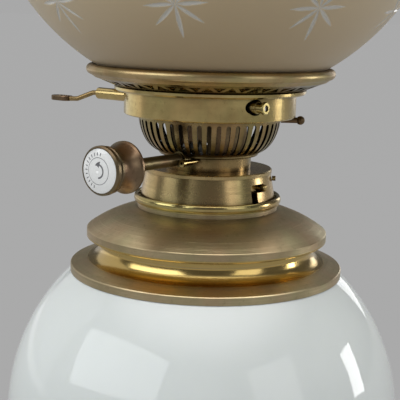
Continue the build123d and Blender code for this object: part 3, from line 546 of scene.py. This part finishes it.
def star_shade():
    """The ball shade with its cut stars, which stands for the plain CAD ball."""
    lo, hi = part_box("shade")
    ball_r = (hi.x - lo.x) / 2
    inner_r = ball_r - SHADE_WALL
    middle = hi.z - math.sqrt(ball_r**2 - SHADE_MOUTH_R**2)
    turns = []
    for k in range(STARS):
        centre = STAR_TURN + 2 * math.pi * k / STARS
        next_star = 2 * math.pi / STARS - STAR_REACH
        turns.extend(np.linspace(-STAR_REACH, STAR_REACH, COLUMNS_OVER_STAR, endpoint=False) + centre)
        turns.extend(np.linspace(STAR_REACH, next_star, COLUMNS_BETWEEN_STARS, endpoint=False) + centre)
    turns = np.array(turns)
    lat_low = -math.acos(SHADE_FITTER_R / ball_r)
    lat_top = math.acos(SHADE_MOUTH_R / ball_r)
    lats = np.concatenate([
        np.linspace(lat_low, STAR_LAT - STAR_BAND, ROWS_BELOW_STARS, endpoint=False),
        np.linspace(STAR_LAT - STAR_BAND, STAR_LAT + STAR_BAND, ROWS_OVER_STARS, endpoint=False),
        np.linspace(STAR_LAT + STAR_BAND, lat_top, ROWS_ABOVE_STARS),
    ])
    grid_turn, grid_lat = np.meshgrid(turns, lats)
    depth = star_depth(grid_turn, grid_lat, ball_r)
    radius = ball_r - CUT_DEPTH * depth
    outer = np.stack([
        radius * np.cos(grid_lat) * np.cos(grid_turn), radius * np.cos(grid_lat) * np.sin(grid_turn),
        middle + radius * np.sin(grid_lat),
    ], -1)
    rows = list(outer)
    cut = list(depth)

    def add_row(r, z):
        rows.append(np.stack([r * np.cos(turns), r * np.sin(turns), np.full_like(turns, z)], -1))
        cut.append(np.zeros_like(turns))

    # Over the mouth's edge, down the inside, and round the foot's edge.
    rim = hi.z - middle - math.sqrt(inner_r**2 - SHADE_MOUTH_R**2)
    for k in range(1, MOUTH_STEPS):
        angle = math.pi * k / MOUTH_STEPS
        add_row(SHADE_MOUTH_R - 0.0004 * math.sin(angle), hi.z - rim * (1 - math.cos(angle)) / 2)
    inside_top = math.acos(SHADE_MOUTH_R / inner_r)
    inside_low = -math.acos((SHADE_FITTER_R - SHADE_WALL) / inner_r)
    for lat in np.linspace(inside_top, inside_low, ROWS_INSIDE):
        add_row(inner_r * math.cos(lat), middle + inner_r * math.sin(lat))
    add_row(SHADE_FITTER_R - SHADE_WALL, lo.z + 0.0010)
    add_row(SHADE_FITTER_R - SHADE_WALL + 0.0006, lo.z + 0.0002)
    add_row(SHADE_FITTER_R - SHADE_WALL / 2, lo.z)
    add_row(SHADE_FITTER_R - 0.0006, lo.z + 0.0002)
    add_row(SHADE_FITTER_R, lo.z + 0.0010)
    add_row(SHADE_FITTER_R, middle + ball_r * math.sin(lat_low) - 0.0006)
    vertices = np.concatenate(rows)
    piece = mesh_piece(
        "cut_star_shade", vertices, ring_faces(len(rows), len(turns)), "frosted_glass", "ball_shade", "shade",
    )
    attribute = piece.data.attributes.new("cut", "FLOAT", "POINT")
    polish = np.clip(np.concatenate(cut) * CUT_EDGE, 0, 1)
    attribute.data.foreach_set("value", polish.astype(np.float32))


star_shade()


# ---- stage ----------------------------------------------------------------------------------
BACKDROP = 0.392                       # linear value of the plain grey behind the lamp
ROOM = 0.10                            # and of the dim room that the brass and glass reflect
CEILING = 3.6                          # which brightens overhead,
CEILING_FROM = 0.62                    # from this height of a direction
FLOOR_SIZE = 60.0
FLOOR_BOUNCE = 0.010                   # what the lights add to the floor's own value


def stage_floor():
    """A wide plain floor, self-lit to the backdrop's grey so that it stays even out to the horizon."""
    g = Graph("floor")
    grain = g.noise(g.position(), 30.0, 3.0, 0.5)
    g.set(
        Base_Color=g.mix(grain, (0.012, 0.012, 0.012), (0.014, 0.014, 0.014)), Roughness=1.0,
        Specular_IOR_Level=0.0, Emission_Color=(1, 1, 1, 1), Emission_Strength=BACKDROP - FLOOR_BOUNCE,
    )
    corners = [(x * FLOOR_SIZE, y * FLOOR_SIZE, 0) for x, y in ((-1, -1), (1, -1), (1, 1), (-1, 1))]
    mesh = bpy.data.meshes.new("floor")
    mesh.from_pydata(corners, [], [(0, 1, 2, 3)])
    mesh.materials.append(g.material)
    floor = bpy.data.objects.new("floor", mesh)
    bpy.context.scene.collection.objects.link(floor)


def stage_world():
    """Plain grey behind the lamp; the room that it reflects is dim, and soft light comes from above."""
    world = bpy.data.worlds.new("studio")
    bpy.context.scene.world = world
    world.use_nodes = True
    tree = world.node_tree
    background = tree.nodes["Background"]
    background.inputs["Color"].default_value = (1, 1, 1, 1)
    split = tree.nodes.new("ShaderNodeSeparateXYZ")
    tree.links.new(tree.nodes.new("ShaderNodeTexCoord").outputs["Generated"], split.inputs[0])
    ceiling = tree.nodes.new("ShaderNodeMapRange")
    ceiling.interpolation_type = "SMOOTHSTEP"
    ceiling.inputs[1].default_value = CEILING_FROM
    ceiling.inputs[2].default_value = 1.0
    ceiling.inputs[3].default_value = ROOM
    ceiling.inputs[4].default_value = CEILING
    tree.links.new(split.outputs[2], ceiling.inputs[0])
    path = tree.nodes.new("ShaderNodeLightPath")
    level = tree.nodes.new("ShaderNodeMapRange")
    tree.links.new(ceiling.outputs[0], level.inputs[3])
    level.inputs[4].default_value = BACKDROP
    tree.links.new(path.outputs["Is Camera Ray"], level.inputs[0])
    tree.links.new(level.outputs[0], background.inputs["Strength"])


# Angles are measured round the lamp from the camera's side, to the right as the camera sees it.
CAMERA_TURN = math.radians(37.5)       # the camera stands this far round from -Y towards +X
CAMERA_REACH = 0.4562
CAMERA_RISE = 0.02456                  # above the middle of the shade's rolled rim
CAMERA_PITCH = math.radians(10.45)
CAMERA_YAW = math.radians(-0.42)
CAMERA_ROLL = math.radians(1.54)
SENSOR = 36.0
LENS = 90.3
BEAD_HALF = 0.0023                     # half the height of the rolled rim's bead
LAMP_HEART = 0.18                      # the height that the lights face
SOFTBOX_REACH = 1.6


def seen(side, out, up):
    """A place from its distance to the right of the lamp's axis, towards the camera, and height."""
    c, s = math.cos(CAMERA_TURN), math.sin(CAMERA_TURN)
    return Vector((side * c + out * s, side * s - out * c, up))


def softbox(name, turn, rise, wide, tall, radiance, roll=0.0, colour=(1.0, 1.0, 1.0)):
    """A soft panel seen from the lamp at an angle round it (degrees, to the right of the camera) and
    above it, as wide and tall in degrees as stated."""
    heart = Vector((0, 0, LAMP_HEART))
    turn, rise, roll = (math.radians(v) for v in (turn, rise, roll))
    level = math.cos(rise) * SOFTBOX_REACH
    height = heart.z + math.sin(rise) * SOFTBOX_REACH
    place = seen(math.sin(turn) * level, math.cos(turn) * level, height)
    light = bpy.data.lights.new(name, "AREA")
    light.shape = "RECTANGLE"
    light.size = 2 * SOFTBOX_REACH * math.tan(math.radians(wide / 2))
    light.size_y = 2 * SOFTBOX_REACH * math.tan(math.radians(tall / 2))
    light.energy = radiance * math.pi * light.size * light.size_y
    light.color = colour
    lamp = bpy.data.objects.new(name, light)
    lamp.rotation_mode = "QUATERNION"
    facing = (heart - place).to_track_quat("-Z", "Y")
    lamp.rotation_quaternion = facing @ Quaternion((0, 0, 1), roll)
    lamp.location = place
    lamp.visible_camera = False
    bpy.context.scene.collection.objects.link(lamp)


def studio_lights():
    """A window and a wall to the left, a panel and a strip to the right, and a strip behind."""
    softbox("left_window", -57, 27, 56, 28, 2.25, roll=8, colour=(0.93, 0.97, 1.0))
    softbox("right_panel", 46, 20, 28, 30, 1.1)
    softbox("right_strip", 102, 7, 11, 18, 6.6, roll=-8)
    softbox("back_right_strip", 150, 8, 12, 20, 1.8)
    softbox("left_wall", -125, 12, 50, 60, 0.45)


def photo_camera():
    """A camera at the photograph's viewing angle and framing."""
    camera = bpy.data.objects.new("camera", bpy.data.cameras.new("camera"))
    camera.data.sensor_width = SENSOR
    camera.data.lens = LENS
    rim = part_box("shade_ring")[1].z - BEAD_HALF
    c, s = math.cos(CAMERA_YAW), math.sin(CAMERA_YAW)
    right = seen(c, s, 0)
    level = seen(s, -c, 0)
    forward = level * math.cos(CAMERA_PITCH) - Vector((0, 0, math.sin(CAMERA_PITCH)))
    up = level * math.sin(CAMERA_PITCH) + Vector((0, 0, math.cos(CAMERA_PITCH)))
    c, s = math.cos(CAMERA_ROLL), math.sin(CAMERA_ROLL)
    right, up = right * c + up * s, up * c - right * s
    turn = Matrix((right, up, -forward)).transposed().to_4x4()
    camera.matrix_world = Matrix.Translation(seen(0, CAMERA_REACH, rim + CAMERA_RISE)) @ turn
    bpy.context.scene.collection.objects.link(camera)
    bpy.context.scene.camera = camera


stage_floor()
stage_world()
studio_lights()
photo_camera()
bpy.context.scene.view_settings.view_transform = "Standard"
